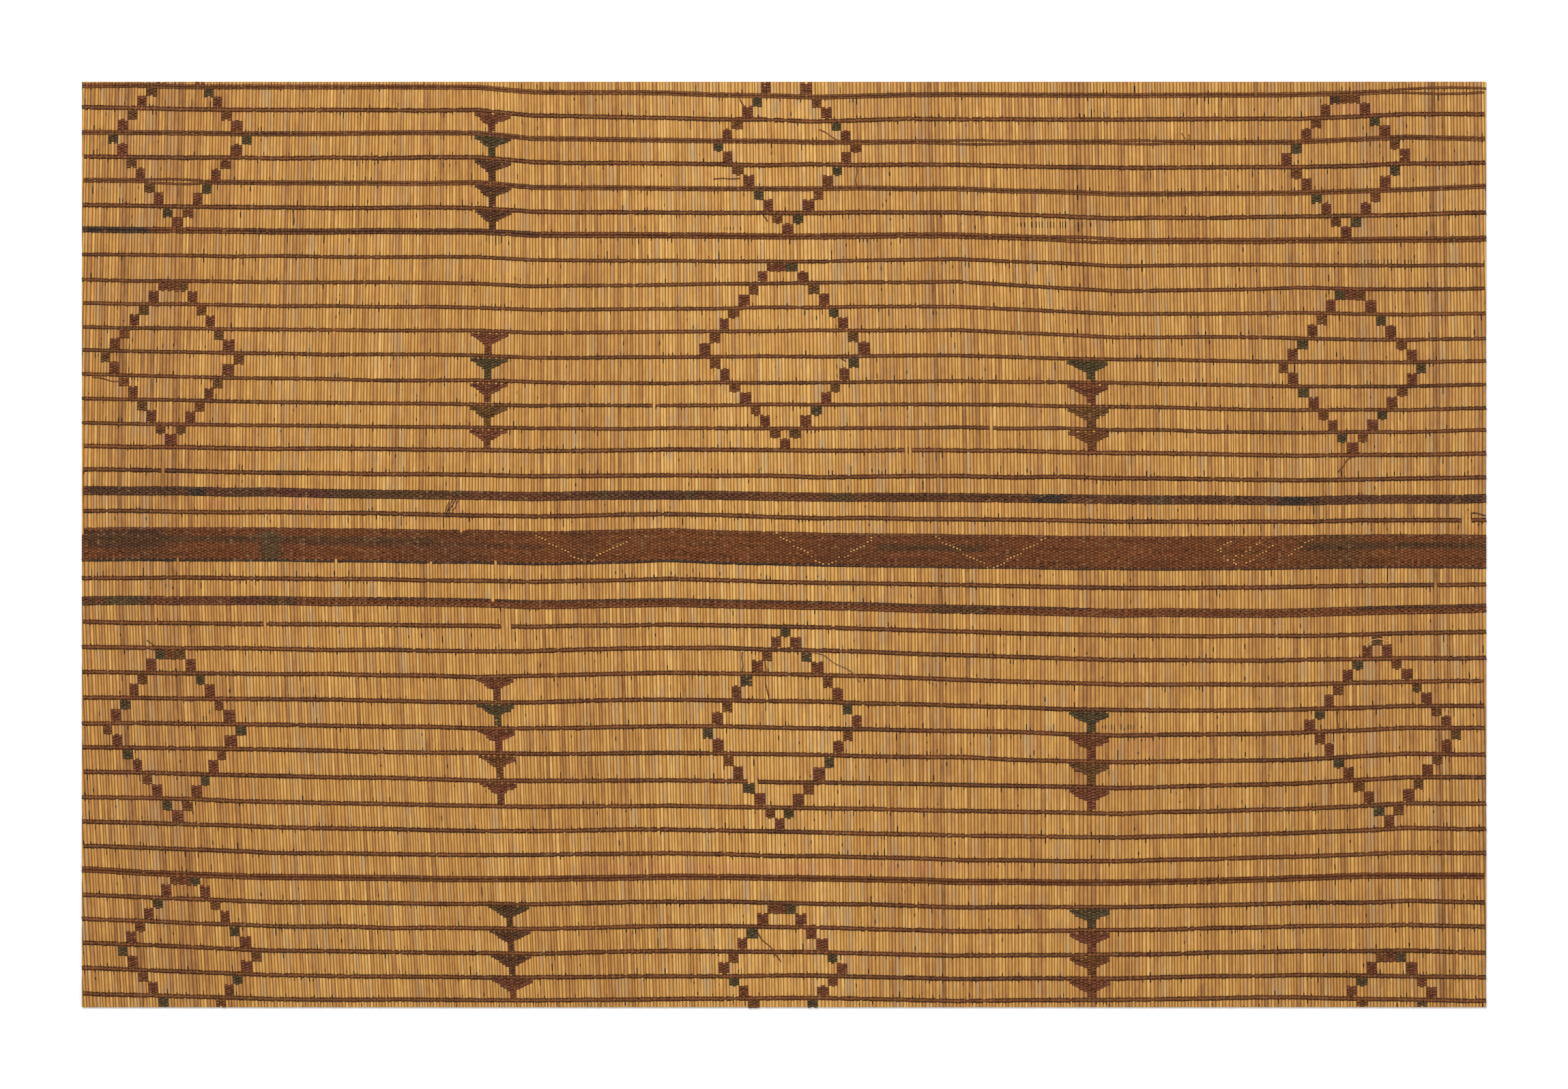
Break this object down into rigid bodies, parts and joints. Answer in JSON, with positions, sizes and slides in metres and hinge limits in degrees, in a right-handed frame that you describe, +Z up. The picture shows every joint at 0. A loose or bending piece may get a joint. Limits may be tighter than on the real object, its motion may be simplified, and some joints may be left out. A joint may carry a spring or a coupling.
{
  "type": "tuareg mat",
  "caption": "Flat length of a mat of slim reeds lying side by side, bound by woven lines of leather strip, with stepped diamonds, tiered trees and a wide band.",
  "frame": {"origin": "middle of the underside, where the mat lies on the floor", "axes": "+X across the reeds and along the leather lines, +Y along the reeds, +Z up from the floor"},
  "size_m": [1, 0.659, 0.0029],
  "materials": {
    "reed": "dry golden reed stems, some grey and some brown, with a soft sheen along each stem",
    "strip_leather": "thin brown leather strip, matt and worn, with short strips dyed red-brown, dark green and olive",
    "bar_leather": "thin dark brown leather strip, blackish green in stretches, matt and worn",
    "band_leather": "thin red-brown leather strip with an olive streak and a dark lower edge, packed close"
  },
  "bodies": {
    "root": {"reed_sheet": "reed", "row_01": "strip_leather", "row_02": "strip_leather", "row_03": "strip_leather", "row_04": "strip_leather", "row_05": "strip_leather", "row_06": "strip_leather", "row_07": "strip_leather", "row_08": "strip_leather", "row_09": "strip_leather", "row_10": "strip_leather", "row_11": "strip_leather", "row_12": "strip_leather", "row_13": "strip_leather", "row_14": "strip_leather", "row_15": "strip_leather", "row_16": "strip_leather", "row_17": "strip_leather", "row_18": "bar_leather", "row_19": "strip_leather", "band": "band_leather", "row_21": "strip_leather", "row_22": "bar_leather", "row_23": "strip_leather", "row_24": "strip_leather", "row_25": "strip_leather", "row_26": "strip_leather", "row_27": "strip_leather", "row_28": "strip_leather", "row_29": "strip_leather", "row_30": "strip_leather", "row_31": "strip_leather", "row_32": "strip_leather", "row_33": "strip_leather", "row_34": "strip_leather", "row_35": "strip_leather", "row_36": "strip_leather", "row_37": "strip_leather", "row_38": "strip_leather"}
  },
  "joints": []
}
